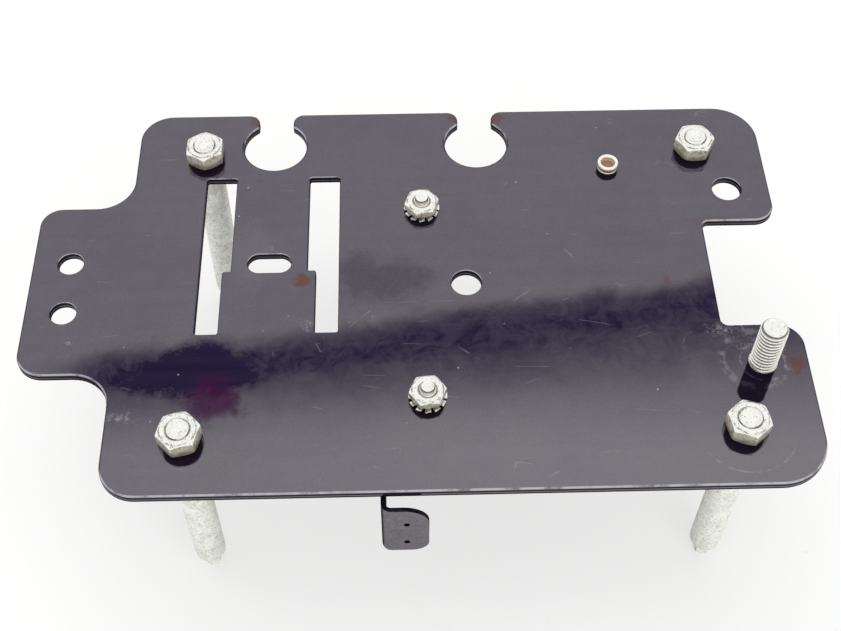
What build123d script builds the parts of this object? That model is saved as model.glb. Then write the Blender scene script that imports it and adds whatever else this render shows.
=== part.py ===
from build123d import *
import os

# Motor mounting bracket: a blanked sheet plate on four turned posts, with its nuts,
# a clinched stud, a hollow rivet pin and a folded hanger bracket underneath.
# Origin: centre of the post pattern, on the plane that the post tips stand on.
# +X to the right, +Y to the back edge, +Z up. All lengths in millimetres.

# Post pattern and plate margins
post_spacing_x = 156.6
post_spacing_y = 104.7
side_margin = 21.7          # plate side edge to the post centres
front_margin = 17.7         # front edge to the front posts
rear_margin = 18.3          # back edge to the rear posts
plate_thickness = 2.66      # 12 gauge sheet
outer_edge_round = 0.85     # roll-over left by the blanking punch
opening_edge_round = 0.4
lower_edge_round = 0.25

# Corner radii of the plate
rear_left_radius = 10.0
rear_right_radius = 13.5
front_left_radius = 10.5
front_right_radius = 14.5

# Tab on the left side
tab_centre = 0.6            # behind the middle of the post pattern
tab_reach = 27.7
tab_width = 62.2
tab_rear_radius = 6.5
tab_front_radius = 8.0
tab_root_radius = 11.0
tab_hole_diameter = 7.7
tab_hole_spacing = 18.4
tab_hole_from_end = 11.5

# Notch in the right side
notch_depth = 23.1
notch_width = 39.3
notch_front = 52.9          # front edge of the plate to the notch
notch_root_radius = 2.2
notch_rear_radius = 6.5
notch_front_radius = 7.5

# Keyholes open to the back edge
lane_from_left = 43.7       # side edge to the line of the first keyhole and the slots
keyhole_pitch = 64.7
keyhole_diameter = 20.0
keyhole_from_rear = 14.2
neck_width = 11.0
lip_radius = 3.4
beak_radius = 1.1

# Stepped slots, handed about the first keyhole's line
slot_span = 41.9            # over the outer edges of the two slots
slot_front = 52.9           # front edge of the plate to the slots
slot_rear = 9.5             # slots to the line of the rear posts
slot_wide = 9.4
slot_narrow = 6.8
slot_narrow_length = 22.9
slot_corner_radius = 0.7

# Oblong hole between the slots
oblong_length = 13.2
oblong_width = 7.0
oblong_from_front = 78.7

# Round clearance holes
clearance_hole_diameter = 9.1
centre_hole_from_left = 102.9
right_column = 13.4         # right edge to the rear hole and the stud
right_hole_from_rear = 35.5

# Posts
post_diameter = 9.53
post_length = 66.2          # shoulder under the plate to the rounded foot
foot_radius = 2.4
tip_diameter = 4.8
tip_length = 6.0
tip_chamfer = 0.45
post_thread_diameter = 6.35
post_thread_proud = 1.0     # thread end above its nut
thread_end_chamfer = 0.55

# Hex nuts on the posts
nut_across_flats = 11.11
nut_height = 5.56
nut_face_ratio = 0.94       # turned face across, over the flats
nut_countersink = 0.45
nut_turns = {"front_left": 14.0, "front_right": 40.0, "rear_left": 30.0, "rear_right": 1.0}

# Screws, tooth washers and lock nuts that hold the hanger bracket
screw_spacing = 69.15
screw_front = 29.8          # front edge to the front screw
screw_from_left = 90.2
screw_diameter = 4.83
screw_proud = 1.5
screw_end_chamfer = 0.6
screw_head_diameter = 9.5
screw_head_height = 3.0
lock_nut_across_flats = 9.53
lock_nut_height = 3.1
lock_nut_skirt = 0.9        # height of the cone below the flats
lock_nut_collar = 8.0       # diameter of the cone's small end
lock_nut_turns = {"front": 6.3, "rear": 9.8}
washer_diameter = 11.0
washer_sheet = 0.6
washer_rise = 0.5           # dish between the inner ring and the teeth
tooth_count = 12
tooth_depth = 1.35
tooth_gap = 1.0

# Clinched stud
stud_diameter = 7.94
stud_height = 16.7
stud_from_front = 39.6
stud_end_chamfer = 0.7
stud_head_diameter = 10.6
stud_head_depth = 1.3
stud_knurl_diameter = 8.3   # pressed shoulder below the thread
stud_knurl_proud = 0.3

# Hollow pin
pin_from_left = 149.8
pin_from_front = 114.9
pin_shank_diameter = 5.2
pin_collar_diameter = 6.6
pin_collar_height = 0.85
pin_bead_diameter = 6.9
pin_height = 3.0            # plate to the top of the rolled bead
pin_recess_diameter = 4.2
pin_recess_depth = 1.9

# Hanger bracket
hanger_sheet = 1.3
hanger_bend_radius = 1.4    # inside the bends
hanger_web_from_left = 76.6
hanger_web_height = 23.2
flange_front = 19.0         # front edge of the plate to the flange
flange_end_margin = 9.0     # rear screw to the end of the flange
flange_screw_margin = 6.6   # screw line to the edge of the flange
flange_corner_radius = 3.0
ear_width = 13.25
ear_proud = 3.2             # front face of the ear ahead of the plate's front edge
ear_upper_radius = 7.2
ear_lower_radius = 4.8
ear_hole_diameter = 1.8
ear_hole_top = 7.8          # top of the ear to the upper hole
ear_hole_spacing = 10.35
ear_hole_from_end = 6.2

# Clearances
hole_clearance = 0.35       # radial, around a thread that drops through a hole
bore_clearance = 0.08       # radial, between a thread's crest and its nut
press_clearance = 0.02      # radial, around a clinched or riveted shank
overshoot = 1.0             # how far a cutting tool runs past a face

# Worked out from the sizes above
plate_width = post_spacing_x + 2 * side_margin
plate_depth = post_spacing_y + front_margin + rear_margin
left_edge = -plate_width / 2
right_edge = plate_width / 2
front_edge = -post_spacing_y / 2 - front_margin
rear_edge = post_spacing_y / 2 + rear_margin
underside = tip_length + post_length
top_face = underside + plate_thickness
lane_x = left_edge + lane_from_left
keyhole_y = rear_edge - keyhole_from_rear
oblong_place = (lane_x, front_edge + oblong_from_front)
centre_hole_place = (left_edge + centre_hole_from_left, 0)
right_hole_place = (right_edge - right_column, rear_edge - right_hole_from_rear)
tab_hole_x = left_edge - tab_reach + tab_hole_from_end
stud_place = (right_edge - right_column, front_edge + stud_from_front)
pin_place = (left_edge + pin_from_left, front_edge + pin_from_front)
screw_x = left_edge + screw_from_left
web_x = left_edge + hanger_web_from_left

post_places = {
    "front_left": (-post_spacing_x / 2, -post_spacing_y / 2),
    "front_right": (post_spacing_x / 2, -post_spacing_y / 2),
    "rear_left": (-post_spacing_x / 2, post_spacing_y / 2),
    "rear_right": (post_spacing_x / 2, post_spacing_y / 2),
}
screw_places = {
    "front": (screw_x, front_edge + screw_front),
    "rear": (screw_x, front_edge + screw_front + screw_spacing),
}


def block(low, high):
    """Rectangle between a low and a high corner."""
    centre = ((low[0] + high[0]) / 2, (low[1] + high[1]) / 2)
    return Pos(*centre) * Rectangle(high[0] - low[0], high[1] - low[1])


def round_corner(sketch, x, y, radius):
    """Round the corner of a flat outline that lies nearest to a place."""
    corner = sketch.vertices().sort_by_distance(Vector(x, y, 0))[0]
    return fillet(corner, radius)


def turned(profile):
    """Solid of revolution about Z from (radius, height) points."""
    face = make_face(Polyline([(radius, 0, height) for radius, height in profile], close=True))
    return revolve(face, Axis.Z)


def bar(diameter, low, high):
    """Round bar on Z between two heights."""
    return Pos(0, 0, low) * Cylinder(diameter / 2, high - low, align=(Align.CENTER, Align.CENTER, Align.MIN))


def drill(solid, places, diameter, low=underside - overshoot, high=top_face + overshoot):
    """Cut the same round hole at each place."""
    for x, y in places:
        solid -= Pos(x, y, 0) * bar(diameter, low, high)
    return solid


def plate_outline():
    """Outer edge of the blank: main field, side tab and side notch, all corners rounded."""
    tab_end = left_edge - tab_reach
    notch_end = right_edge - notch_depth
    notch_low = front_edge + notch_front
    notch_high = notch_low + notch_width
    tab_low = tab_centre - tab_width / 2
    tab_high = tab_centre + tab_width / 2
    blank = block((left_edge, front_edge), (right_edge, rear_edge))
    blank += block((tab_end, tab_low), (left_edge + side_margin, tab_high))
    blank -= block((notch_end, notch_low), (right_edge + side_margin, notch_high))
    corners = [
        (left_edge, rear_edge, rear_left_radius),
        (right_edge, rear_edge, rear_right_radius),
        (left_edge, front_edge, front_left_radius),
        (right_edge, front_edge, front_right_radius),
        (tab_end, tab_high, tab_rear_radius),
        (tab_end, tab_low, tab_front_radius),
        (left_edge, tab_high, tab_root_radius),
        (left_edge, tab_low, tab_root_radius),
        (notch_end, notch_high, notch_root_radius),
        (notch_end, notch_low, notch_root_radius),
        (right_edge, notch_high, notch_rear_radius),
        (right_edge, notch_low, notch_front_radius),
    ]
    for x, y, radius in corners:
        blank = round_corner(blank, x, y, radius)
    return blank


def cut_keyhole(blank, x):
    """Round hole with a neck open to the back edge, lips and beaks rounded."""
    half_neck = neck_width / 2
    eye_radius = keyhole_diameter / 2
    beak_y = keyhole_y + (eye_radius**2 - half_neck**2) ** 0.5
    blank -= Pos(x, keyhole_y) * Circle(eye_radius)
    blank -= block((x - half_neck, keyhole_y), (x + half_neck, rear_edge + lip_radius))
    for side in (-half_neck, half_neck):
        blank = round_corner(blank, x + side, rear_edge, lip_radius)
        blank = round_corner(blank, x + side, beak_y, beak_radius)
    return blank


def stepped_slot(hand):
    """Slot that narrows towards the front, straight on its outer edge; hand is -1 or 1."""
    outer = lane_x + hand * slot_span / 2
    low = front_edge + slot_front
    step = low + slot_narrow_length
    high = post_spacing_y / 2 - slot_rear
    wide_side = sorted((outer, outer - hand * slot_wide))
    narrow_side = sorted((outer, outer - hand * slot_narrow))
    slot = block((wide_side[0], step), (wide_side[1], high))
    slot += block((narrow_side[0], low), (narrow_side[1], step))
    return fillet(slot.vertices(), slot_corner_radius)


def mounting_plate():
    """The blanked sheet with every opening, its punched edges rolled over."""
    blank = plate_outline()
    for x in (lane_x, lane_x + keyhole_pitch):
        blank = cut_keyhole(blank, x)
    for hand in (-1, 1):
        blank -= stepped_slot(hand)
    blank -= Pos(*oblong_place) * SlotOverall(oblong_length, oblong_width)
    for place in (centre_hole_place, right_hole_place):
        blank -= Pos(*place) * Circle(clearance_hole_diameter / 2)
    for side in (-tab_hole_spacing / 2, tab_hole_spacing / 2):
        blank -= Pos(tab_hole_x, tab_centre + side) * Circle(tab_hole_diameter / 2)
    plate = Pos(0, 0, underside) * extrude(blank, plate_thickness)
    for inner_wires, radius in ((False, outer_edge_round), (True, opening_edge_round)):
        top = plate.faces().sort_by(Axis.Z)[-1]
        wires = top.inner_wires() if inner_wires else [top.outer_wire()]
        plate = fillet([edge for wire in wires for edge in wire.edges()], radius)
    plate = fillet(plate.faces().sort_by(Axis.Z)[0].edges(), lower_edge_round)
    plate = drill(plate, post_places.values(), post_thread_diameter + 2 * hole_clearance)
    plate = drill(plate, screw_places.values(), screw_diameter + 2 * hole_clearance)
    plate = drill(plate, [stud_place], stud_knurl_diameter + 2 * press_clearance)
    plate = drill(plate, [stud_place], stud_head_diameter + 2 * press_clearance,
                  high=underside + stud_head_depth)
    return drill(plate, [pin_place], pin_shank_diameter + 2 * press_clearance)


def post():
    """Turned standoff on Z: tip, rounded foot, body and the threaded end through the plate."""
    body = bar(post_diameter, tip_length, underside)
    body = fillet(body.edges().sort_by(Axis.Z)[0], foot_radius)
    tip = bar(tip_diameter, 0, tip_length + foot_radius)
    tip = chamfer(tip.edges().sort_by(Axis.Z)[0], tip_chamfer)
    thread_end = top_face + nut_height + post_thread_proud
    thread = bar(post_thread_diameter, underside - foot_radius, thread_end)
    thread = chamfer(thread.edges().sort_by(Axis.Z)[-1], thread_end_chamfer)
    return body + tip + thread


def hex_nut(across_flats, height, thread_diameter, seat_diameter, seat_rise):
    """Hex nut standing on Z = 0, its corners turned off above and its seat coned below."""
    corner_radius = across_flats / 3**0.5
    face_radius = nut_face_ratio * across_flats / 2
    top_drop = (corner_radius - face_radius) / 3**0.5
    bore_radius = thread_diameter / 2 + bore_clearance
    sink_radius = bore_radius + nut_countersink
    blank = turned([
        (bore_radius, nut_countersink),
        (sink_radius, 0),
        (seat_diameter / 2, 0),
        (corner_radius, seat_rise),
        (corner_radius, height - top_drop),
        (face_radius, height),
        (sink_radius, height),
        (bore_radius, height - nut_countersink),
    ])
    return blank & extrude(RegularPolygon(across_flats / 2, 6, major_radius=False), height)


def post_nut(turn):
    """Nut of a post, seated on the plate; turn is its angle in degrees."""
    seat_diameter = nut_face_ratio * nut_across_flats
    seat_rise = (nut_across_flats / 3**0.5 - seat_diameter / 2) / 3**0.5
    nut = hex_nut(nut_across_flats, nut_height, post_thread_diameter, seat_diameter, seat_rise)
    return Pos(0, 0, top_face) * Rot(0, 0, turn) * nut


def tooth_washer():
    """Dished washer with a ring of teeth that bite the plate."""
    inner = screw_diameter / 2 + hole_clearance
    outer = washer_diameter / 2
    root = outer - tooth_depth
    dish = turned([
        (inner, washer_rise),
        (root, washer_rise),
        (outer - tooth_depth / 3, 0),
        (outer, 0),
        (outer, washer_sheet),
        (outer - tooth_depth / 3, washer_sheet),
        (root, washer_rise + washer_sheet),
        (inner, washer_rise + washer_sheet),
    ])
    gap = Pos(root + tooth_depth, 0) * SlotOverall(2 * tooth_depth + tooth_gap, tooth_gap)
    gaps = PolarLocations(0, tooth_count) * extrude(gap, washer_rise + washer_sheet)
    return Pos(0, 0, top_face) * (dish - gaps)


def lock_nut(turn):
    """Small nut with a coned skirt, seated on the tooth washer."""
    nut = hex_nut(lock_nut_across_flats, lock_nut_height, screw_diameter, lock_nut_collar, lock_nut_skirt)
    return Pos(0, 0, top_face + washer_rise + washer_sheet) * Rot(0, 0, turn) * nut


def bracket_screw():
    """Round-head screw that comes up through the hanger flange and the plate."""
    seat = underside - hanger_sheet
    screw_end = top_face + washer_rise + washer_sheet + lock_nut_height + screw_proud
    head = bar(screw_head_diameter, seat - screw_head_height, seat)
    head = fillet(head.edges().sort_by(Axis.Z)[0], screw_head_height / 2)
    shank = bar(screw_diameter, seat - screw_head_height / 2, screw_end)
    rim = shank.edges().sort_by(Axis.Z)[-1]
    end_face = shank.faces().sort_by(Axis.Z)[-1]
    shank = chamfer(rim, screw_end_chamfer, screw_proud, reference=end_face)
    return head + shank


def threaded_stud():
    """Stud clinched flush into the underside of the plate."""
    head = bar(stud_head_diameter, underside, underside + stud_head_depth)
    knurl = bar(stud_knurl_diameter, underside, top_face + stud_knurl_proud)
    thread = bar(stud_diameter, top_face, top_face + stud_height)
    thread = chamfer(thread.edges().sort_by(Axis.Z)[-1], stud_end_chamfer)
    return head + knurl + thread


def hollow_pin():
    """Rivet with a blind recess: shank in the plate, collar and a rolled bead on top."""
    bead_low = top_face + pin_collar_height
    bead_high = top_face + pin_height
    bead_height = bead_high - bead_low
    collar = bar(pin_collar_diameter, top_face, bead_low)
    collar = fillet(collar.edges().sort_by(Axis.Z)[-1], pin_collar_height / 3)
    bead = bar(pin_bead_diameter, bead_low, bead_high)
    bead = fillet(bead.edges().sort_by(Axis.Z)[-1], bead_height * 0.55)
    bead = fillet(bead.edges().sort_by(Axis.Z)[0], bead_height * 0.35)
    pin = bar(pin_shank_diameter, underside, bead_low) + collar + bead
    return pin - bar(pin_recess_diameter, bead_high - pin_recess_depth, bead_high + overshoot)


def folded(points, radius, width, across):
    """Sheet strip swept along a bent centre line; across is the direction of its width."""
    path = FilletPolyline(*points, radius=radius + hanger_sheet / 2)
    section = Plane(origin=path @ 0, x_dir=across, z_dir=path % 0) * Rectangle(width, hanger_sheet)
    return sweep(section, path)


def hanger_bracket():
    """Folded sheet: flange under the plate, web turned down, front end turned into an ear."""
    half_sheet = hanger_sheet / 2
    bend = hanger_bend_radius + hanger_sheet
    web_top = underside - bend
    web_low = web_top - hanger_web_height
    web_middle = (web_top + web_low) / 2
    web_centre = web_x + half_sheet
    flange_right = screw_x + flange_screw_margin
    flange_low = front_edge + flange_front
    flange_high = screw_places["rear"][1] + flange_end_margin
    flange_middle = (flange_low + flange_high) / 2
    ear_front = front_edge - ear_proud
    ear_centre = ear_front + half_sheet
    ear_end = web_x + ear_width

    angle = folded([
        (flange_right, flange_middle, underside - half_sheet),
        (web_centre, flange_middle, underside - half_sheet),
        (web_centre, flange_middle, web_low),
    ], hanger_bend_radius, flange_high - flange_low, (0, 1, 0))
    arm = folded([
        (web_centre, flange_middle, web_middle),
        (web_centre, ear_centre, web_middle),
        (ear_end, ear_centre, web_middle),
    ], hanger_bend_radius, hanger_web_height, (0, 0, 1))
    hanger = angle + arm

    for height, radius in ((web_top, ear_upper_radius), (web_low, ear_lower_radius)):
        corner = hanger.edges().filter_by(Axis.Y).sort_by_distance(Vector(ear_end, ear_centre, height))[0]
        hanger = fillet(corner, radius)
    flange_corners = hanger.edges().filter_by(Axis.Z).sort_by(Axis.X)[-2:]
    hanger = fillet(flange_corners, flange_corner_radius)
    web_corner = hanger.edges().filter_by(Axis.X).sort_by(Axis.Y)[-1]
    hanger = fillet(web_corner, flange_corner_radius)

    hanger = drill(hanger, screw_places.values(), screw_diameter + 2 * hole_clearance,
                   underside - hanger_sheet - overshoot)
    for row in range(2):
        hole_height = web_top - ear_hole_top - row * ear_hole_spacing
        start = Plane(origin=(ear_end - ear_hole_from_end, ear_front - overshoot, hole_height), z_dir=(0, 1, 0))
        hanger -= extrude(start * Circle(ear_hole_diameter / 2), hanger_sheet + 2 * overshoot)
    return hanger


def parts():
    """Every node by name, each where it sits in the assembly."""
    nodes = {
        "mounting_plate": mounting_plate(),
        "hanger_bracket": hanger_bracket(),
        "threaded_stud": Pos(*stud_place) * threaded_stud(),
        "hollow_pin": Pos(*pin_place) * hollow_pin(),
    }
    for name, place in post_places.items():
        nodes["post_" + name] = Pos(*place) * post()
        nodes["nut_" + name] = Pos(*place) * post_nut(nut_turns[name])
    for name, place in screw_places.items():
        nodes["tooth_washer_" + name] = Pos(*place) * tooth_washer()
        nodes["lock_nut_" + name] = Pos(*place) * lock_nut(lock_nut_turns[name])
        nodes["bracket_screw_" + name] = Pos(*place) * bracket_screw()
    return nodes


os.makedirs("parts", exist_ok=True)
for name, solid in parts().items():
    export_step(solid, os.path.join("parts", name + ".step"))
    print(name, round(solid.volume, 2))
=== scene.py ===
import math

import bmesh
import bpy
from mathutils import Matrix, Vector


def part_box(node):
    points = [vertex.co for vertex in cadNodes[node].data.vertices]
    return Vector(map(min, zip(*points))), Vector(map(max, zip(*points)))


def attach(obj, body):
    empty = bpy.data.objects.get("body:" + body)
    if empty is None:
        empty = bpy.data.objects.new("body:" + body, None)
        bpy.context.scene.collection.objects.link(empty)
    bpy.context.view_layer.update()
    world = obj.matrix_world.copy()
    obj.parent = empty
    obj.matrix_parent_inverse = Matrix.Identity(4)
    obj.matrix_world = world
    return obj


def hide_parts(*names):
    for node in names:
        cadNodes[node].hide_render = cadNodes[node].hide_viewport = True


mm = 0.001
roundSteps = 96                 # points round a turned piece
tiny = 0.02 * mm                # radius of the last ring before a flat end closes
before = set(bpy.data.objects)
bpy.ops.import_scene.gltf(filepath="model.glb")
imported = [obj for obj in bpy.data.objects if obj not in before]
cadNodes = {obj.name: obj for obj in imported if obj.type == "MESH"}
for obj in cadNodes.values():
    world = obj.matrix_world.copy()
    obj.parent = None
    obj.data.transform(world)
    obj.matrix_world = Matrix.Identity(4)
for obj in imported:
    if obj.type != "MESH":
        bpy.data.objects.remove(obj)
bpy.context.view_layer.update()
print("frame loaded:", len(cadNodes), "nodes")


# Shader sums: a socket that takes part in ordinary Python expressions
class Value:
    def __init__(self, graph, socket):
        self.graph = graph
        self.socket = socket

    def __add__(self, other):
        return self.graph.maths("ADD", self, other)

    def __radd__(self, other):
        return self.graph.maths("ADD", other, self)

    def __sub__(self, other):
        return self.graph.maths("SUBTRACT", self, other)

    def __rsub__(self, other):
        return self.graph.maths("SUBTRACT", other, self)

    def __mul__(self, other):
        return self.graph.maths("MULTIPLY", self, other)

    def __rmul__(self, other):
        return self.graph.maths("MULTIPLY", other, self)

    def __truediv__(self, other):
        return self.graph.maths("DIVIDE", self, other)


# A node tree with one way to add nodes to it
class Graph:
    def __init__(self, owner):
        owner.use_nodes = True
        self.tree = owner.node_tree
        self.tree.nodes.clear()

    # settings go in before the sockets
    def node(self, kind, settings, sockets, output=0):
        made = self.tree.nodes.new(kind)
        for name, setting in settings.items():
            setattr(made, name, setting)
        for name, value in sockets.items():
            target = made.inputs[name]
            if isinstance(value, Value):
                self.tree.links.new(value.socket, target)
            elif isinstance(value, tuple) and target.type == "RGBA":
                target.default_value = (*value, 1.0)
            else:
                target.default_value = value
        return Value(self, made.outputs[output]) if made.outputs else None

    def maths(self, operation, a, b=0.0, clamp=False):
        return self.node("ShaderNodeMath", {"operation": operation, "use_clamp": clamp}, {0: a, 1: b})

    def clamped(self, a):
        return self.maths("ADD", a, 0.0, clamp=True)

    def vector(self, operation, a, b=(0, 0, 0), **more):
        output = "Value" if operation in ("LENGTH", "DOT_PRODUCT", "DISTANCE") else "Vector"
        sockets = {0: a, **more} if more else {0: a, 1: b}
        return self.node("ShaderNodeVectorMath", {"operation": operation}, sockets, output)


# A material, with the noises and marks that its surface is made of
class Finish(Graph):
    def __init__(self, name):
        self.material = bpy.data.materials.new(name)
        super().__init__(self.material)
        # place on the part in millimetres, in the part's own frame
        coordinates = self.node("ShaderNodeTexCoord", {}, {}, "Object")
        self.place = self.vector("SCALE", coordinates, Scale=1 / mm)

    def blend(self, amount, a, b):
        return self.node("ShaderNodeMix", {"data_type": "RGBA"}, {0: amount, 6: a, 7: b}, 2)

    def split(self, vector, axis):
        return self.node("ShaderNodeSeparateXYZ", {}, {0: vector}, axis)

    # smooth step from 0 at low to 1 at high
    def step(self, value, low, high):
        settings = {"interpolation_type": "SMOOTHSTEP"}
        sockets = {"Value": value, "From Min": low, "From Max": high, "To Min": 0.0, "To Max": 1.0}
        if low > high:
            sockets.update({"From Min": high, "From Max": low, "To Min": 1.0, "To Max": 0.0})
        return self.node("ShaderNodeMapRange", settings, sockets)

    def moved(self, stretch=(1, 1, 1), turn=0.0, shift=(0, 0, 0)):
        sockets = {"Vector": self.place, "Location": shift,
                   "Rotation": (0, 0, math.radians(turn)), "Scale": stretch}
        return self.node("ShaderNodeMapping", {"vector_type": "POINT"}, sockets)

    # cloudy noise; size is the width of its patches in millimetres
    def cloud(self, size, detail=3.0, rough=0.55, at=None, warp=0.0):
        sockets = {"Vector": at or self.place, "Scale": 1 / size, "Detail": detail,
                   "Roughness": rough, "Distortion": warp}
        return self.node("ShaderNodeTexNoise", {}, sockets)

    # distance to the nearest of many scattered points, in parts of the spacing
    def cells(self, spacing, at=None, feature="F1"):
        sockets = {"Vector": at or self.place, "Scale": 1 / spacing}
        return self.node("ShaderNodeTexVoronoi", {"feature": feature}, sockets, "Distance")

    # soft-edged spot round a place on the plate, its rim broken up by noise
    def spot(self, x, y, radius, ragged=0.5, stretch=(1, 1), turn=0.0):
        here = self.vector("SUBTRACT", self.place, (x, y, 0))
        sockets = {"Vector": here, "Location": (0, 0, 0), "Rotation": (0, 0, math.radians(turn)),
                   "Scale": (1 / stretch[0], 1 / stretch[1], 0)}
        away = self.vector("LENGTH", self.node("ShaderNodeMapping", {"vector_type": "POINT"}, sockets))
        rim = away / radius + (self.cloud(radius * 0.6, 4.0, 0.65) - 0.5) * (2.4 * ragged)
        return self.step(rim, 1.0, 0.35)

    # several spots added up; each is (x, y, radius, raggedness, stretch, turn, strength)
    def spots(self, places):
        total = 0.0
        for x, y, radius, ragged, stretch, turn, strength in places:
            total = total + self.spot(x, y, radius, ragged, stretch, turn) * strength
        return self.clamped(total)

    # how far sideways a point lies from the upright line through a place
    def offset(self, x, y):
        return self.vector("MULTIPLY", self.vector("SUBTRACT", self.place, (x, y, 0)), (1, 1, 0))

    def away(self, x, y):
        return self.vector("LENGTH", self.offset(x, y))

    # soft ring of a given radius and width
    def ringMark(self, x, y, radius, width):
        off = self.maths("ABSOLUTE", self.away(x, y) - radius)
        return self.step(off, width, width * 0.3)

    def normal(self, axis):
        return self.split(self.node("ShaderNodeNewGeometry", {}, {}, "Normal"), axis)

    def bump(self, height, strength, depth):
        return self.node("ShaderNodeBump", {}, {"Height": height, "Strength": strength, "Distance": depth})

    def surface(self, **sockets):
        named = {name.replace("_", " "): value for name, value in sockets.items()}
        shader = self.node("ShaderNodeBsdfPrincipled", {}, named)
        self.node("ShaderNodeOutputMaterial", {}, {"Surface": shader})
        return self.material


def dress(piece, material):
    piece.data.materials.clear()
    piece.data.materials.append(material)


def smooth(mesh, angle):
    mesh.polygons.foreach_set("use_smooth", [True] * len(mesh.polygons))
    mesh.set_sharp_from_angle(angle=math.radians(angle))


def pieceFrom(name, points, faces, angle=40):
    mesh = bpy.data.meshes.new(name)
    mesh.from_pydata([tuple(point) for point in points], [], faces)
    sheet = bmesh.new()
    sheet.from_mesh(mesh)
    bmesh.ops.recalc_face_normals(sheet, faces=sheet.faces)
    sheet.to_mesh(mesh)
    sheet.free()
    smooth(mesh, angle)
    piece = bpy.data.objects.new(name, mesh)
    bpy.context.scene.collection.objects.link(piece)
    return piece


# Rings of points joined side to side; closed joins the last ring to the first
def skin(rings, closed=False, capLow=False, capHigh=False):
    count = len(rings[0])
    points = [point for ring in rings for point in ring]
    faces = []
    last = len(rings) if closed else len(rings) - 1
    for row in range(last):
        here = row * count
        there = ((row + 1) % len(rings)) * count
        for step in range(count):
            after = (step + 1) % count
            faces.append((here + step, here + after, there + after, there + step))
    if capLow:
        faces.append(tuple(range(count)))
    if capHigh:
        faces.append(tuple(range(len(points) - count, len(points))))
    return points, faces


def circle(radius, height, steps, at):
    ring = []
    for step in range(steps):
        angle = 2 * math.pi * step / steps
        r = radius(angle) if callable(radius) else radius
        z = height(angle) if callable(height) else height
        ring.append(Vector((at[0] + r * math.cos(angle), at[1] + r * math.sin(angle), z)))
    return ring


# Height of a thread's flank, 0 at the root and 1 at the crest, for a turn share from 0 to 1
def threadShape(share):
    rise = 1 - abs(2 * share - 1)
    return min(1.0, max(0.0, (rise - 0.14) / 0.70))


# Threaded bar: rings whose radius follows the helix, cut down to a cone at each end
def threadedRings(crest, depth, pitch, low, high, at, perTurn, startCone=0.0, endCone=0.0, coneRun=1.0):
    rows = max(2, round((high - low) / pitch * perTurn))
    rings = []
    for row in range(rows + 1):
        z = low + (high - low) * row / rows
        limit = crest
        if endCone and z > high - coneRun:
            limit = crest - endCone * (z - (high - coneRun)) / coneRun
        if startCone and z < low + coneRun:
            limit = min(limit, crest - startCone * (low + coneRun - z) / coneRun)

        def radius(angle, z=z, limit=limit):
            share = (z / pitch - angle / (2 * math.pi)) % 1.0
            return min(limit, crest - depth * (1 - threadShape(share)))
        rings.append(circle(radius, z, roundSteps, at))
    return rings


# Lowest and highest corners of a piece, and the place of its upright axis
def standing(node):
    low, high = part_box(node)
    centre = (low + high) / 2
    return low, high, (centre.x, centre.y)


# Place of a piece's upright axis in millimetres
def axisOf(node):
    low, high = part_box(node)
    centre = (low + high) / (2 * mm)
    return centre.x, centre.y


# Black gloss paint of the plate and the hanger, with the colours of its painted reflections, highlight and
# shade
paint = {
    "base": (0.021, 0.016, 0.031),
    "faded": (0.013, 0.010, 0.016),
    "cast": (0.040, 0.020, 0.056),
    # colour of the painted dark reflection band
    "reflectionBandBase": (0.0085, 0.0038, 0.0235),
    "sheen": 0.64,              # share of the full gloss on clean paint
    "coatIor": 2.4,
    "bandSlope": 0.135,         # of the painted dark reflection band across the plate
    "bandY": -14.5,             # its middle at x = 0, mm
    "rust": (0.15, 0.062, 0.036),
    "darkRust": (0.06, 0.028, 0.022),
    "bareMetal": (0.36, 0.34, 0.36),
    "reflectionLineHeight": 73.35,          # height of the painted pale reflection line along the front side, mm
    # colour of the painted highlight on the rolled front edge
    "edgeHighlight": (0.36, 0.35, 0.39),
    # colour of the painted shade on the cut sides
    "shadedSide": (0.004, 0.003, 0.006),
    "purpleSpot": (0.030, 0.004, 0.030),
    # colour of the painted dark reflections of the fasteners
    "paintedReflection": (0.004, 0.002, 0.008),
    "chip": (0.16, 0.11, 0.09),
}

# Places of the marks in mm, as (x, y, radius, raggedness, stretch, turn, strength)
plain = (1, 1)
plateMarks = {
    "rust": [
        (-46.3, 1.8, 3.4, 0.7, plain, 0, 1),                # at the right slot
        (96.0, -30.5, 4.2, 0.9, (0.8, 1.2), 0, 0.75),       # beside the stud
        (63.0, -0.4, 2.6, 0.8, (0.6, 1.3), 0, 0.6),
        (81.0, 21.8, 4.6, 0.9, (2.3, 0.55), 0, 0.35),       # at the notch
        (-60.9, 68.6, 4.2, 0.9, plain, 0, 0.6),             # lips of the keyholes
        (2.2, 68.4, 3.8, 0.9, plain, 0, 0.7),
        (15.0, 67.4, 3.8, 0.9, plain, 0, 0.7),
    ],
    "scuffs": [
        (77.5, -18.6, 4.5, 1.0, (1.6, 0.6), 0, 1),
        (-96.0, -45.0, 3.6, 1.0, (1.6, 0.6), 20, 1),
        (86.0, -24.0, 6.0, 1.0, (1.5, 0.8), 0, 0.6),
        (-44.5, -14.5, 2.4, 0.9, plain, 0, 1),
        (-113.0, -19.3, 1.5, 0.5, plain, 0, 1),
    ],
}

# Painted dark reflection beside each fastener, as (node, radius, length) in mm; it trails towards the
# front, to the point under the camera
paintedReflection = [(node, 5.55, 3.3) for node in cadNodes if node.startswith("nut_")]
paintedReflection += [(node, 4.8, 2.4) for node in cadNodes if node.startswith("tooth_washer_")]
paintedReflection += [("threaded_stud", 4.0, 11.5), ("hollow_pin", 3.35, 2.2)]
# point on the floor under the camera, towards which the painted reflections trail
underCamera = Vector((-17, -241, 0))
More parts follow.
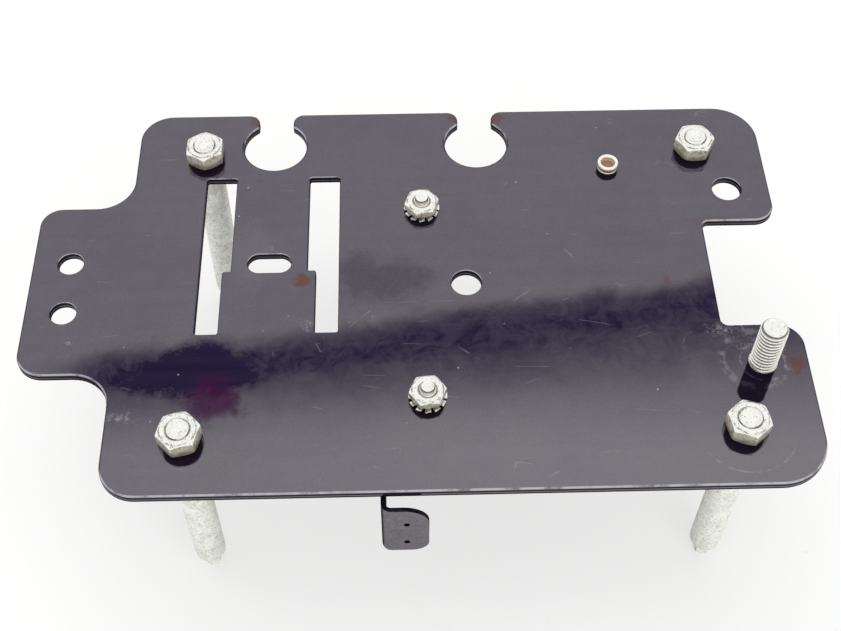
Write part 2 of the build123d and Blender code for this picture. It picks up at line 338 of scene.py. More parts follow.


# Painted dark reflection in a mottled band right across the plate, sharp at the back and fading to the
# front
def reflectionBand(f, x, y, wave):
    offset = y - (x * paint["bandSlope"] + paint["bandY"]) + wave * 13.0
    backSide = f.step(offset, 8.0, 0.5)
    frontSide = f.step(offset + x * 0.05, -34.0, -9.0)
    leftFade = f.step(x, -124.0, -102.0)
    mottle = f.step(f.cloud(7.5, 6.0, 0.7, warp=1.2), 0.30, 0.72)
    band = backSide * frontSide * leftFade * (0.72 + 0.28 * mottle)
    flecks = f.step(f.cloud(2.6, 5.0, 0.75, warp=1.5), 0.38, 0.58)
    blotch = f.spot(-76.0, -31.0, 17.0, 0.75, (1.25, 0.9), -25) * (0.45 + 0.55 * flecks)
    core = f.step(f.maths("ABSOLUTE", offset + 6.0), 8.0, 1.0) * 0.18
    return f.clamped(band * (0.86 + core) + blotch * 0.6)


# Bare specks, hair-thin scratches in two directions, scuffs and rubbed rings
def plateScratches(f, y):
    dusty = f.step(f.cloud(9.0, 1.0, at=f.moved(shift=(31, 17, 5))), 0.50, 0.56)
    dust = f.step(f.cells(7.0), 0.052, 0.030) * dusty
    dots = f.step(f.cells(23.0, f.moved(shift=(7, 3, 0))), 0.030, 0.018)
    specks = f.clamped(dust * 0.8 + dots)
    right = f.cells(17.0, f.moved((0.30, 1.0, 0.0), 24.0), feature="DISTANCE_TO_EDGE")
    left = f.cells(21.0, f.moved((0.35, 1.0, 0.0), -38.0), feature="DISTANCE_TO_EDGE")
    scratched = f.step(f.cloud(9.0, 2.0, at=f.moved(shift=(3, 41, 0))), 0.60, 0.68)
    lines = f.clamped(f.step(right, 0.006, 0.002) + f.step(left, 0.005, 0.002)) * scratched
    scuffs = f.spots(plateMarks["scuffs"]) * f.step(f.cloud(1.1, 4.0, 0.75, warp=1.0), 0.46, 0.60)
    # two rings round the stud, and an arc left in front of the right nut
    rings = f.ringMark(86.6, -30.45, 6.4, 0.5) * 0.5 + f.ringMark(84.5, -29.5, 9.5, 1.6) * 0.4
    rings = rings + f.ringMark(78.3, -52.35, 14.0, 0.35) * f.step(y, -58.0, -62.0) * 0.5
    rings = rings * f.step(f.cloud(2.6, 4.0, 0.7), 0.44, 0.60)
    return f.clamped(specks * 0.75 + lines * 0.20 + scuffs * 0.40 + rings * 0.55)


# Painted dark reflection of each fastener in the gloss paint, trailing from its axis towards the point
# under the camera
def fastenerReflections(f, fine):
    darkening = 0.0
    for node, reach, length in paintedReflection:
        x, y = axisOf(node)
        trail = (underCamera - Vector((x, y, 0))).normalized()
        here = f.offset(x, y)
        along = f.vector("DOT_PRODUCT", here, tuple(trail))
        along = f.maths("MINIMUM", f.maths("MAXIMUM", along, 0.0), length)
        spine = f.vector("SCALE", tuple(trail), Scale=along)
        away = f.vector("LENGTH", f.vector("SUBTRACT", here, spine))
        patch = f.step(away + (fine - 0.5) * 0.8, reach + 0.25, reach - 0.35)
        darkening = f.maths("MAXIMUM", darkening, patch)
    return darkening


# What years of use left on the plate, and the painted dark reflections on it
def plateWearAndReflections(f, x, y, fine, colour, gloss, rough, peel):
    wave = f.cloud(26.0, 5.0, 0.62, warp=0.6) - 0.5
    # painted dark reflection band across the plate: darker colour, less gloss
    reflectedBand = reflectionBand(f, x, y, wave)
    colour = f.blend(reflectedBand, colour, paint["reflectionBandBase"])
    gloss = gloss * (1 - 0.93 * reflectedBand)
    # purple, less glossy spot at the left end of the band
    purple = f.spot(-71.0, -40.0, 10.0, 0.8)
    gloss = gloss * (1 - 0.7 * purple)
    colour = f.blend(purple * 0.95, colour, paint["purpleSpot"])
    # cleaner, brighter paint along the front and a dull patch left of the middle
    front = f.step(y + wave * 6.0, -34.0, -62.0)
    gloss = gloss + front * (0.20 + 0.16 * f.step(x, -80.0, 20.0))
    gloss = gloss - f.spot(-24.0, 2.0, 15.0, 0.5, (1.3, 0.8)) * 0.26
    gloss = gloss + f.spot(-62.0, 12.0, 11.0, 0.5, (1.0, 1.4)) * 0.10
    # faint sideways rubbing marks
    rubs = f.cloud(3.0, 5.0, 0.7, at=f.moved((0.05, 1.0, 1.0), 4.0))
    gloss = gloss + (rubs - 0.5) * 0.12
    worn = plateScratches(f, y)
    colour = f.blend(worn, colour, paint["bareMetal"])
    rust = f.spots(plateMarks["rust"])
    rustTone = f.blend(f.cloud(1.2, 4.0, 0.7), paint["rust"], paint["darkRust"])
    colour = f.blend(rust * 0.85, colour, rustTone)
    gloss = gloss * (1 - 0.75 * rust) * (1 - 0.7 * worn)
    # painted dark reflections of the fasteners: less gloss, near-black colour
    darkening = fastenerReflections(f, fine)
    gloss = gloss * (1 - 0.97 * darkening)
    colour = f.blend(darkening * 0.8, colour, paint["paintedReflection"])
    rough = rough + rust * 0.5 + worn * 0.25
    peel = peel - rust * f.cloud(0.6, 4.0, 0.7) * 3.0
    return colour, gloss, rough, peel


# Chips all over the hanger, most of them at the lower right corner of its ear
def hangerWear(f, x, y, colour, gloss, rough):
    low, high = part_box("hanger_bracket")
    chips = f.step(f.cloud(1.6, 5.0, 0.7), 0.58, 0.64)
    rightEnd = f.step(x, high.x / mm - 7.0, high.x / mm - 2.0)
    frontEnd = f.step(y, low.y / mm + 7.0, low.y / mm + 2.0)
    flakes = f.step(f.cloud(1.1, 4.0, 0.7), 0.44, 0.52)
    chips = f.clamped(chips + rightEnd * frontEnd * flakes)
    colour = f.blend(chips * 0.8, colour, paint["chip"])
    gloss = gloss + (f.cloud(2.0, 4.0, 0.7) - 0.5) * 0.5
    gloss = gloss * (1 - 0.5 * chips)
    return colour, gloss, rough + chips * 0.35 + 0.06


# Painted highlight on the rolled front edge; the cut sides are painted near black as shade, with one paler
# line as a painted reflection
def plateEdges(f, z, colour, gloss):
    up = f.normal("Z")
    back = f.normal("Y")
    # cut sides are painted near black as shade
    shadedSide = f.step(up, 0.55, 0.25) * f.step(up, -0.95, -0.7)
    rolled = f.step(up, 0.985, 0.90) * f.step(up, 0.40, 0.62)
    front = f.step(back, -0.05, -0.25)
    # painted pale reflection line along the front of the cut side
    line = f.step(f.maths("ABSOLUTE", z - paint["reflectionLineHeight"]), 0.42, 0.12) * front
    gloss = gloss * (1 - shadedSide * (0.92 - 0.62 * line)) * (1 - rolled * (1 - front) * 0.7)
    colour = f.blend(shadedSide * (0.9 - 0.5 * line), colour, paint["shadedSide"])
    # painted highlight along the front of the rolled edge
    bright = rolled * front * 0.8 * f.step(f.cloud(6.0, 4.0, 0.7), 0.30, 0.55)
    return f.blend(bright, colour, paint["edgeHighlight"]), gloss


# The hanger's sheet faces the front; its cut edges are painted dark, as shade
def hangerEdges(f, colour, gloss):
    shadedSide = f.step(f.maths("ABSOLUTE", f.normal("Y")), 0.75, 0.45)
    return f.blend(shadedSide * 0.9, colour, paint["shadedSide"]), gloss * (1 - shadedSide * 0.92)


def paintFinish(name, plate):
    f = Finish(name)
    x = f.split(f.place, "X")
    y = f.split(f.place, "Y")
    z = f.split(f.place, "Z")
    drift = f.cloud(38.0, 4.0, 0.6)
    fine = f.cloud(5.0, 4.0, 0.65)
    grain = f.cloud(0.7, 2.0, 0.7)
    colour = f.blend(f.clamped((drift - 0.35) * 1.6), paint["base"], paint["faded"])
    gloss = paint["sheen"] + (drift - 0.5) * 0.22 + (fine - 0.5) * 0.12 + (grain - 0.5) * 0.30
    rough = 0.045 + f.clamped(fine - 0.45) * 0.05
    peel = f.cloud(1.9, 2.0, 0.5)
    # purple cast in fine patches
    cast = f.step(f.cloud(1.5, 5.0, 0.75), 0.42, 0.66)
    colour = f.blend(cast * 0.75, colour, paint["cast"])
    gloss = gloss - cast * 0.05
    if plate:
        colour, gloss, rough, peel = plateWearAndReflections(f, x, y, fine, colour, gloss, rough, peel)
        colour, gloss = plateEdges(f, z, colour, gloss)
    else:
        colour, gloss, rough = hangerWear(f, x, y, colour, gloss, rough)
        colour, gloss = hangerEdges(f, colour, gloss)
    return f.surface(Base_Color=colour, Roughness=rough, Coat_Weight=f.clamped(gloss),
                     Coat_Roughness=0.035, Coat_IOR=paint["coatIor"], Specular_IOR_Level=0.0,
                     IOR=1.45, Normal=f.bump(peel, 0.12, 0.00035))


# Zinc of the fasteners and of the posts, with painted shade on the fasteners' sides, and the rust inside
# the pin
zinc = {
    "bright": (0.93, 0.93, 0.885),
    # colour of the sides, painted darker and yellower than the tops as shade
    "side": (0.80, 0.76, 0.60),
    "cloudy": (0.66, 0.66, 0.62),
    "pitAndShade": (0.10, 0.095, 0.075),
    # dark colour for dirt specks and for painted shade on the sides
    "darkening": (0.16, 0.14, 0.09),
    "footTop": 78.2,            # height where the painted shade low on the nuts' sides ends, mm
    "postLight": (0.90, 0.91, 0.84),
    "postMottle": (0.72, 0.74, 0.67),
    "postStreak": (0.68, 0.70, 0.66),
    "postSpeckle": (0.30, 0.32, 0.25),
    "postPit": (0.20, 0.22, 0.19),
    "postTopTone": (0.42, 0.37, 0.27),
    "pinCollar": (0.62, 0.55, 0.42),
    "pinRust": (0.40, 0.20, 0.12),
    "pinDarkRust": (0.17, 0.07, 0.045),
}


# axes: threaded nodes with their crest radius, whose thread roots are painted dark as shade;
# rims: first part of the nuts' names with the radius of their top faces
def zincFinish(name, pitSize, pitShare, rough, axes, rims):
    f = Finish(name)
    up = f.normal("Z")
    facing = f.step(up, 0.15, 0.75)
    cloudy = f.cloud(2.4, 4.0, 0.6)
    pitted = f.step(f.cloud(1.7, 3.0, 0.6), 0.42, 0.56)
    pits = f.step(f.cells(pitSize), pitShare, pitShare * 0.45) * pitted
    # noisy dark patches on the sides only: dirt and painted shade together
    darkening = f.step(f.cloud(1.3, 5.0, 0.7, warp=0.8), 0.42, 0.70) * (1 - facing)
    # the sides are painted darker than the upward faces, as shade
    colour = f.blend(facing, zinc["side"], zinc["bright"])
    colour = f.blend(f.clamped(cloudy - 0.45) * 1.6, colour, zinc["cloudy"])
    speckle = f.step(f.cloud(0.55, 3.0, 0.8), 0.56, 0.68)
    colour = f.blend(speckle * 0.45, colour, zinc["darkening"])
    colour = f.blend(darkening * 0.8, colour, zinc["darkening"])
    colour = f.blend(pits * 0.8, colour, zinc["pitAndShade"])
    # a darker ring along the turned edge of each nut's top, and painted shade low down on its sides
    for prefix, faceRadius in rims.items():
        for node in [node for node in cadNodes if node.startswith(prefix)]:
            away = f.away(*axisOf(node)) + (speckle - 0.5) * 0.3
            rim = f.step(f.maths("ABSOLUTE", away - faceRadius), 0.34, 0.10)
            rim = rim * f.step(f.cloud(1.4, 3.0, 0.7), 0.40, 0.60)
            colour = f.blend(rim * 0.75, colour, zinc["pitAndShade"])
    if rims:
        # painted shade low down on the nuts' sides
        height = f.split(f.place, "Z") + (cloudy - 0.5) * 3.0
        foot = f.step(height, zinc["footTop"], zinc["footTop"] - 2.6)
        colour = f.blend(foot * (1 - facing) * 0.72, colour, zinc["darkening"])
    if axes:
        # painted shade in the thread roots, on faces that don't point up
        root = 0.0
        for node, crest in axes.items():
            away = f.away(*axisOf(node))
            root = root + f.step(away, crest - 0.12, crest - 0.5) * f.step(away, crest - 1.15, crest - 1.0)
        root = f.clamped(root) * f.step(up, 0.97, 0.85)
        facing = facing * (1 - root)
        colour = f.blend(root * 0.92, colour, zinc["pitAndShade"])
    return f.surface(Base_Color=colour, Metallic=f.clamped(0.25 + facing * 0.7 - pits * 0.4),
                     Roughness=rough + (cloudy - 0.5) * 0.12 + pits * 0.3,
                     Normal=f.bump(f.cloud(0.8, 4.0, 0.6) - pits * 0.8, 0.22, 0.00012))


def postFinish(name):
    f = Finish(name)
    mottle = f.step(f.cloud(4.5, 6.0, 0.68, warp=0.7), 0.40, 0.66)
    streak = f.cloud(3.0, 4.0, 0.6, at=f.moved((1.0, 1.0, 0.25)))
    pits = f.step(f.cells(1.15), 0.26, 0.10) * f.step(f.cloud(2.3, 2.0, 0.5), 0.40, 0.60)
    # darker, browner patches towards the top of each post, under the plate
    blotches = f.step(f.split(f.place, "Z"), 38.0, 66.0) * f.step(f.cloud(7.0, 4.0, 0.6), 0.36, 0.66)
    speckle = f.step(f.cloud(0.75, 4.0, 0.8, warp=0.6), 0.50, 0.62)
    colour = f.blend(mottle, zinc["postLight"], zinc["postMottle"])
    colour = f.blend(f.clamped((streak - 0.45) * 1.5), colour, zinc["postStreak"])
    colour = f.blend(speckle * 0.62, colour, zinc["postSpeckle"])
    colour = f.blend(blotches * 0.55, colour, zinc["postTopTone"])
    colour = f.blend(pits * 0.8, colour, zinc["postPit"])
    return f.surface(Base_Color=colour, Metallic=0.35, Roughness=0.42 + mottle * 0.12 + pits * 0.2,
                     Normal=f.bump(f.cloud(1.0, 4.0, 0.6) - pits * 1.2, 0.35, 0.00018))


def pinFinish(name, recessFloor, recessRadius, axis):
    f = Finish(name)
    inside = f.step(f.away(*axis), recessRadius * 1.02, recessRadius * 0.9)
    rustTone = f.blend(f.cloud(0.9, 4.0, 0.7), zinc["pinRust"], zinc["pinDarkRust"])
    low = f.step(f.split(f.place, "Z"), recessFloor - 0.2, recessFloor - 1.2) * (1 - inside)
    colour = f.blend(low, zinc["bright"], zinc["pinCollar"])
    colour = f.blend(f.step(f.cells(0.8), 0.25, 0.10) * 0.4, colour, zinc["pitAndShade"])
    colour = f.blend(inside, colour, rustTone)
    rough = 0.30 + inside * 0.5 + (f.cloud(0.8, 3.0) - 0.5) * 0.2
    return f.surface(Base_Color=colour, Metallic=0.95 - inside * 0.9, Roughness=rough,
                     Normal=f.bump(f.cloud(0.5, 4.0, 0.6), 0.3, 0.0001))


plateFinish = paintFinish("gloss black paint", plate=True)
hangerFinish = paintFinish("gloss black paint, chipped", plate=False)
nutFinish = zincFinish("bright zinc nuts", 0.9, 0.30, 0.22, {}, {"nut_": 5.0, "lock_nut_": 4.29})
smallFinish = zincFinish("bright zinc screws", 0.7, 0.28, 0.2,
                         {"bracket_screw_front": 2.415, "bracket_screw_rear": 2.415}, {})
studFinish = zincFinish("bright zinc stud", 0.8, 0.26, 0.3, {"threaded_stud": 3.97}, {})
postZinc = postFinish("dull zinc posts")
print("finishes made")

dress(cadNodes["mounting_plate"], plateFinish)
dress(cadNodes["hanger_bracket"], hangerFinish)
for name in ("mounting_plate", "hanger_bracket"):
    smooth(cadNodes[name].data, 30)


# What all the nuts share: top face and bore chamfer, mm where they are lengths
nutShape = {
    "faceRatio": 0.90,
    "sink": 0.45,
    "steps": 120,
    "wornEdge": 0.16,
}


# Hex nut standing on its seat, corners turned to a cone, bore chamfered
def hexNut(name, node, turn, size):
    low, high, at = standing(node)
    steps = nutShape["steps"]
    sink = nutShape["sink"] * mm
    skirt = size["skirt"] * mm
    half = size["acrossFlats"] * mm / 2
    corner = half * 2 / math.sqrt(3)
    face = half * nutShape["faceRatio"]
    bore = size["boreRadius"] * mm
    lip = bore + sink
    seat = half * size["seatRatio"]
    lean = math.tan(math.radians(30))

    def side(angle):
        share = (angle - math.radians(turn)) % (math.pi / 3) - math.pi / 6
        return half / math.cos(share)

    def sideTop(angle):
        return high.z - max(0.0, side(angle) - face) * lean

    def sideLow(angle):
        if skirt:
            return low.z + skirt * (side(angle) - seat) / (corner - seat)
        return low.z + max(0.0, side(angle) - seat) * lean
    ringList = [
        circle(bore, low.z + sink, steps, at),
        circle(lip, low.z, steps, at),
        circle(seat, low.z, steps, at),
        circle(side, sideLow, steps, at),
        circle(side, sideTop, steps, at),
        circle(face, high.z, steps, at),
        circle(lip, high.z, steps, at),
        circle(bore, high.z - sink, steps, at),
    ]
    points, faces = skin(ringList, closed=True)
    nut = pieceFrom(name, points, faces, 28)
    edge = nut.modifiers.new("worn edges", "BEVEL")
    edge.limit_method = "ANGLE"
    edge.angle_limit = math.radians(24)
    edge.width = nutShape["wornEdge"] * mm
    edge.segments = 2
    dress(nut, nutFinish)
    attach(nut, "root")
    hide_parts(node)


postNut = {
    "acrossFlats": 11.11,
    "boreRadius": 3.255,
    "seatRatio": 0.94,
    "skirt": 0,
    "turns": {"front_left": 14.0, "front_right": 40.0, "rear_left": 30.0, "rear_right": 1.0},
}
for corner, turn in postNut["turns"].items():
    hexNut("postNut_" + corner, "nut_" + corner, turn, postNut)
print("post nuts built")

lockNut = {
    "acrossFlats": 9.53,
    "boreRadius": 2.495,
    "seatRatio": 0.84,
    "skirt": 0.9,
    "turns": {"front": 6.3, "rear": 9.8},
}
for side, turn in lockNut["turns"].items():
    hexNut("lockNut_" + side, "lock_nut_" + side, turn, lockNut)
print("lock nuts built")

washer = {
    "teeth": 12,
    "toothWidth": 1.75,
    "toothTwist": 24.0,         # degrees at the tip
    "sheet": 0.55,
    "ringInner": 2.77,
    "ringOuter": 4.1,
    "dish": 0.1,                # fall of the ring from its bore to its rim
    "toothRoot": 0.5,           # how far the teeth reach into the ring
    "tipSpare": 0.45,           # height left under the tips for their twist
    "wornEdge": 0.07,
}


# Dished ring with twisted teeth
def toothWasher(name, node):
    low, high, at = standing(node)
    reach = (high.x - low.x) / 2
    top = high.z
    sheet = washer["sheet"] * mm
    ringInner = washer["ringInner"] * mm
    ringOuter = washer["ringOuter"] * mm
    dish = washer["dish"] * mm
    fall = high.z - low.z - sheet - washer["tipSpare"] * mm
    ringList = [
        circle(ringInner, top, 72, at),
        circle(ringOuter, top - dish, 72, at),
        circle(ringOuter, top - dish - sheet, 72, at),
        circle(ringInner, top - sheet, 72, at),
    ]
    points, faces = skin(ringList, closed=True)
    inner = ringOuter - washer["toothRoot"] * mm
    for tooth in range(washer["teeth"]):
        spin = Matrix.Rotation(2 * math.pi * tooth / washer["teeth"], 3, "Z")
        sections = []
        for step in range(6):
            share = step / 5
            radius = inner + (reach - inner) * share
            twist = math.radians(washer["toothTwist"]) * share
            width = washer["toothWidth"] * mm * (0.42 + 0.08 * share)
            middleHeight = top - sheet / 2 - dish - fall * share
            section = []
            for across, up in ((-1, -1), (1, -1), (1, 1), (-1, 1)):
                offset = Vector((0, across * width, up * sheet / 2))
                offset.rotate(Matrix.Rotation(twist, 3, "X"))
                height = max(low.z, middleHeight + offset.z)
                point = spin @ Vector((radius, offset.y, 0))
                section.append(Vector((point.x + at[0], point.y + at[1], height)))
            sections.append(section)
        toothPoints, toothFaces = skin(sections, capLow=True, capHigh=True)
        faces += [tuple(index + len(points) for index in face) for face in toothFaces]
        points += toothPoints
    ring = pieceFrom(name, points, faces, 35)
    edge = ring.modifiers.new("worn edges", "BEVEL")
    edge.width = washer["wornEdge"] * mm
    edge.segments = 2
    edge.limit_method = "ANGLE"
    dress(ring, smallFinish)
    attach(ring, "root")
    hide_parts(node)


for side in ("front", "rear"):
    toothWasher("toothWasher_" + side, "tooth_washer_" + side)
print("tooth washers built")

screw = {
    "crest": 2.415,
    "depth": 0.32,
    "pitch": 1.058,
    "endCone": 0.6,
    "endRun": 1.3,
    "headRadius": 4.75,
    "headHeight": 3.0,
    "domeRise": 1.5,
    "headEdge": 0.15,
    "endStep": 0.35,
    "slotWidth": 1.2,
    "slotDepth": 1.3,
    "slotLength": 12,
    "slotTurn": 35,
}


# Screw of the hanger: slotted round head below, thread end above the lock nut
def hangerScrew(name, node):
    low, high, at = standing(node)
    seat = low.z + screw["headHeight"] * mm
    head = screw["headRadius"] * mm
    crest = screw["crest"] * mm
    cone = screw["endCone"] * mm
    edge = screw["headEdge"] * mm
    rings = []
    domeSteps = 14
    for step in range(domeSteps + 1):
        angle = math.pi / 2 * step / domeSteps
        radius = head * math.sin(angle) if step else tiny
        rings.append(circle(radius, low.z + screw["domeRise"] * mm * (1 - math.cos(angle)), roundSteps, at))
    rings.append(circle(head, seat - edge, roundSteps, at))
    rings.append(circle(head - edge, seat, roundSteps, at))
    rings.append(circle(crest, seat, roundSteps, at))
    rings += threadedRings(crest, screw["depth"] * mm, screw["pitch"] * mm, seat + 0.01 * mm, high.z, at,
                           perTurn=10, endCone=cone, coneRun=screw["endRun"] * mm)
    rings.append(circle(crest - cone - screw["endStep"] * mm, high.z, roundSteps, at))
    rings.append(circle(tiny, high.z, roundSteps, at))
    points, faces = skin(rings, capLow=True, capHigh=True)
    body = pieceFrom(name, points, faces, 38)
    # the driver slot is cut out of the head
    cutter = bpy.data.meshes.new(name + "_slot")
    block = bmesh.new()
    slotSize = (screw["slotWidth"] * mm, screw["slotLength"] * mm, 2 * screw["slotDepth"] * mm)
    slotTurn = Matrix.Rotation(math.radians(screw["slotTurn"]), 3, "Z")
    bmesh.ops.create_cube(block, size=1.0)
    bmesh.ops.scale(block, vec=slotSize, verts=block.verts)
    bmesh.ops.rotate(block, cent=(0, 0, 0), matrix=slotTurn, verts=block.verts)
    bmesh.ops.translate(block, vec=(*at, low.z), verts=block.verts)
    block.to_mesh(cutter)
    block.free()
    knife = bpy.data.objects.new(name + "_slot", cutter)
    bpy.context.scene.collection.objects.link(knife)
    cut = body.modifiers.new("driver slot", "BOOLEAN")
    cut.operation = "DIFFERENCE"
    cut.object = knife
    cut.solver = "EXACT"
    bpy.context.view_layer.objects.active = body
    bpy.ops.object.modifier_apply(modifier=cut.name)
    bpy.data.objects.remove(knife)
    smooth(body.data, 38)
    dress(body, smallFinish)
    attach(body, "root")
    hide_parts(node)


for side in ("front", "rear"):
    hangerScrew("hangerScrew_" + side, "bracket_screw_" + side)
print("hanger screws built")

stud = {
    "crest": 3.97,
    "depth": 0.80,
    "pitch": 1.411,
    "endCone": 0.7,
    "endRun": 0.8,
    "knurlRadius": 4.15,
    "headRadius": 5.3,
    "headDepth": 1.3,
    "knurlProud": 0.3,
    "endRim": 1.1,              # inwards from the crest to the rim of the hollow end
    "endSlope": 1.6,
    "hollow": (0.12, 0.2),
}


def threadedStud(name, node):
    low, high, at = standing(node)
    crest = stud["crest"] * mm
    knurl = stud["knurlRadius"] * mm
    head = stud["headRadius"] * mm
    headTop = low.z + stud["headDepth"] * mm
    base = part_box("mounting_plate")[1].z + stud["knurlProud"] * mm
    rings = [
        circle(tiny, low.z, roundSteps, at),
        circle(head, low.z, roundSteps, at),
        circle(head, headTop, roundSteps, at),
        circle(knurl, headTop, roundSteps, at),
        circle(knurl, base, roundSteps, at),
    ]
    rings += threadedRings(crest, stud["depth"] * mm, stud["pitch"] * mm, base + tiny, high.z, at,
                           perTurn=14, endCone=stud["endCone"] * mm, coneRun=stud["endRun"] * mm)
    # slightly hollow end, as sheared and rolled
    shallow, deep = stud["hollow"]
    rings.append(circle(crest - stud["endRim"] * mm, high.z, roundSteps, at))
    rings.append(circle(crest - stud["endSlope"] * mm, high.z - shallow * mm, roundSteps, at))
    rings.append(circle(tiny, high.z - deep * mm, roundSteps, at))
    points, faces = skin(rings, capLow=True, capHigh=True)
    body = pieceFrom(name, points, faces, 42)
    dress(body, studFinish)
    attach(body, "root")
    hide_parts(node)


threadedStud("clinchStud", "threaded_stud")
print("stud built")

standoff = {
    "radius": 4.765,
    "footRadius": 2.4,
    "tipLength": 6.0,
    "tipCrest": 2.4,
    "tipDepth": 0.42,
    "tipPitch": 1.058,
    "threadCrest": 3.175,
    "threadDepth": 0.60,
    "threadPitch": 1.27,
    "endCone": 0.55,
    "tipCone": 0.45,
    "tipConeRun": 0.5,
    "endRim": 0.9,
}


# Post: threaded tip, rounded foot, straight body, thread through the plate and its nut
def standoffPost(name, node):
    low, high, at = standing(node)
    shoulder = low.z + standoff["tipLength"] * mm
    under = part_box("mounting_plate")[0].z
    foot = standoff["footRadius"] * mm
    radius = standoff["radius"] * mm
    threadCrest = standoff["threadCrest"] * mm
    endCone = standoff["endCone"] * mm
    rings = [circle(tiny, low.z, roundSteps, at)]
    rings += threadedRings(standoff["tipCrest"] * mm, standoff["tipDepth"] * mm, standoff["tipPitch"] * mm,
                           low.z, shoulder - 0.05 * mm, at, perTurn=12,
                           startCone=standoff["tipCone"] * mm, coneRun=standoff["tipConeRun"] * mm)
    rings.append(circle(radius - foot, shoulder, roundSteps, at))
    footSteps = 10
    for step in range(1, footSteps + 1):
        angle = math.pi / 2 * step / footSteps
        around = radius - foot + foot * math.sin(angle)
        rings.append(circle(around, shoulder + foot * (1 - math.cos(angle)), roundSteps, at))
    bodySteps = 11
    for step in range(1, bodySteps + 1):
        height = shoulder + foot + (under - shoulder - foot) * step / bodySteps
        rings.append(circle(radius, height, roundSteps, at))
    rings += threadedRings(threadCrest, standoff["threadDepth"] * mm, standoff["threadPitch"] * mm,
                           under + tiny, high.z, at, perTurn=12, endCone=endCone, coneRun=endCone)
    rings.append(circle(threadCrest - standoff["endRim"] * mm, high.z, roundSteps, at))
    rings.append(circle(tiny, high.z - 0.05 * mm, roundSteps, at))
    points, faces = skin(rings, capLow=True, capHigh=True)
    post = pieceFrom(name, points, faces, 38)
    post.data.materials.clear()
    post.data.materials.append(postZinc)
    post.data.materials.append(nutFinish)
    # threads at both ends are bright, the body is dull
    spare = 0.01 * mm
    for face in post.data.polygons:
        z = face.center.z
        face.material_index = 1 if z < shoulder - spare or z > under + spare else 0
    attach(post, "root")
    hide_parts(node)


for corner in postNut["turns"]:
    standoffPost("standoffPost_" + corner, "post_" + corner)
print("posts built")

pin = {
    "shankRadius": 2.6,
    "collarRadius": 3.3,
    "collarHeight": 0.85,
    "beadRadius": 3.45,
    "recessRadius": 2.1,
    "recessDepth": 1.9,
    "rustFrom": 0.9,            # below the top, where the collar's rust colour ends
}


def hollowPin(name, node):
    low, high, at = standing(node)
    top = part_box("mounting_plate")[1].z
    waist = top + pin["collarHeight"] * mm
    floorHeight = high.z - pin["recessDepth"] * mm
    shank = pin["shankRadius"]
    collar = pin["collarRadius"]
    recess = pin["recessRadius"]
    # outline as (radius in mm, height): shank, collar, then the bead and the recess
    outline = [(tiny / mm, low.z), (shank, low.z), (shank, top), (collar - 0.1, top)]
    outline += [(collar, top + 0.12 * mm), (collar, waist - 0.28 * mm)]
    outline += [(collar - 0.18, waist - 0.08 * mm), (collar - 0.28, waist)]
    # bead: an oval from the waist round to the rim of the recess
    beadMiddle = (waist + high.z) / 2
    beadHalf = (high.z - waist) / 2
    bulge = (pin["beadRadius"] - recess) / 2
    startAngle = -0.42 * math.pi
    sweep = (0.42 + 0.92) * math.pi
    for step in range(25):
        angle = startAngle + sweep * step / 24
        outline.append((recess + bulge + bulge * math.cos(angle), beadMiddle + beadHalf * math.sin(angle)))
    outline += [(recess, beadMiddle), (recess - 0.05, floorHeight + 0.3 * mm)]
    outline += [(recess - 0.4, floorHeight), (tiny / mm, floorHeight - 0.05 * mm)]
    rings = [circle(r * mm, z, roundSteps, at) for r, z in outline]
    points, faces = skin(rings, capLow=True, capHigh=True)
    body = pieceFrom(name, points, faces, 50)
    dress(body, pinFinish("bright pin, rusty inside", high.z / mm - pin["rustFrom"], recess, axisOf(node)))
    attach(body, "root")
    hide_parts(node)


hollowPin("hollowPin", "hollow_pin")
print("pin built")

# Stage: pale floor, white surroundings, soft lamps
stage = {
    "floorColour": (0.93, 0.93, 0.925),
    "floorSize": 6.0,
    "stainColour": (0.60, 0.59, 0.57),
    "shadowShare": 0.35,        # how much of the floor's own shading the camera sees
    "worldLight": 0.78,
    "lamps": [
        {"name": "top softbox", "at": (-0.15, 0.25, 1.15), "size": 1.1, "power": 7.5},
        {"name": "front softbox", "at": (0.35, -0.95, 0.8), "size": 0.8, "power": 4.5},
    ],
}


def floorFinish():
    f = Finish("pale floor")
    smudge = f.step(f.cloud(14.0, 6.0, 0.72, warp=1.0), 0.56, 0.70)
    near = f.spot(35.0, -120.0, 75.0, 0.6, (1.8, 0.8))
    dirt = f.step(f.cells(26.0), 0.025, 0.012) * f.step(f.cloud(30.0, 2.0), 0.5, 0.6)
    blotches = f.clamped(smudge * near * 0.16 + dirt * 0.28)
    tone = f.blend(blotches, stage["floorColour"], stage["stainColour"])
    matte = f.node("ShaderNodeBsdfDiffuse", {}, {"Color": tone})
    glow = f.node("ShaderNodeEmission", {}, {"Color": tone, "Strength": 1.0})
    path = f.node("ShaderNodeLightPath", {}, {}, "Is Camera Ray")
    seen = f.node("ShaderNodeMixShader", {}, {0: path * (1 - stage["shadowShare"]), 1: matte, 2: glow})
    f.node("ShaderNodeOutputMaterial", {}, {"Surface": seen})
    return f.material


half = stage["floorSize"] / 2
corners = [(-half, -half, 0), (half, -half, 0), (half, half, 0), (-half, half, 0)]
floor = pieceFrom("floor", corners, [(0, 1, 2, 3)])
dress(floor, floorFinish())

world = bpy.data.worlds.new("white surround")
bpy.context.scene.world = world
sky = Graph(world)
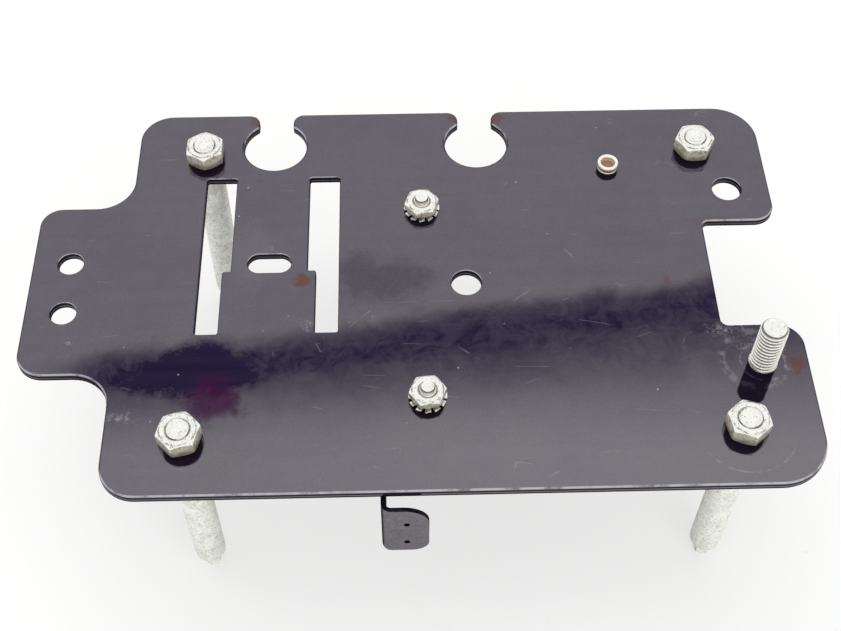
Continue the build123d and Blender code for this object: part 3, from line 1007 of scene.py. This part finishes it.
# white to the camera and in mirrors, softer as a light
seenDirectly = sky.maths("MAXIMUM", sky.node("ShaderNodeLightPath", {}, {}, "Is Camera Ray"),
                         sky.node("ShaderNodeLightPath", {}, {}, "Is Glossy Ray"))
strength = stage["worldLight"] + seenDirectly * (1 - stage["worldLight"])
backdrop = sky.node("ShaderNodeBackground", {}, {"Color": (1.0, 1.0, 1.0), "Strength": strength})
sky.node("ShaderNodeOutputWorld", {}, {"Surface": backdrop})

target = Vector((0, 0, 0.06))
for setting in stage["lamps"]:
    lamp = bpy.data.lights.new(setting["name"], "AREA")
    lamp.shape = "SQUARE"
    lamp.size = setting["size"]
    lamp.energy = setting["power"]
    holder = bpy.data.objects.new(setting["name"], lamp)
    holder.location = setting["at"]
    holder.rotation_euler = (target - Vector(setting["at"])).to_track_quat("-Z", "Y").to_euler()
    holder.visible_glossy = False
    bpy.context.scene.collection.objects.link(holder)
print("stage and lamps set")

# Camera: in front of the part, looking down on the plate
view = {
    "at": (-0.01728, -0.24081, 0.39272),
    "down": 54.231,             # degrees below level
    "turn": 1.5386,             # degrees to the right of straight back
    "roll": -0.1557,
    "lens": 57.105,
}
down = math.radians(view["down"])
turn = math.radians(view["turn"])
roll = math.radians(view["roll"])
forward = Vector((math.sin(turn) * math.cos(down), math.cos(turn) * math.cos(down), -math.sin(down)))
levelRight = Vector((math.cos(turn), -math.sin(turn), 0))
levelUp = levelRight.cross(forward)
right = levelRight * math.cos(roll) - levelUp * math.sin(roll)
up = right.cross(forward)
camera = bpy.data.cameras.new("camera")
camera.lens = view["lens"]
camera.sensor_width = 36.0
camera.clip_start = 0.01
holder = bpy.data.objects.new("camera", camera)
holder.matrix_world = Matrix((
    (right.x, up.x, -forward.x, view["at"][0]),
    (right.y, up.y, -forward.y, view["at"][1]),
    (right.z, up.z, -forward.z, view["at"][2]),
    (0, 0, 0, 1),
))
bpy.context.scene.collection.objects.link(holder)
bpy.context.scene.camera = holder

scene = bpy.context.scene
scene.view_settings.view_transform = "Standard"
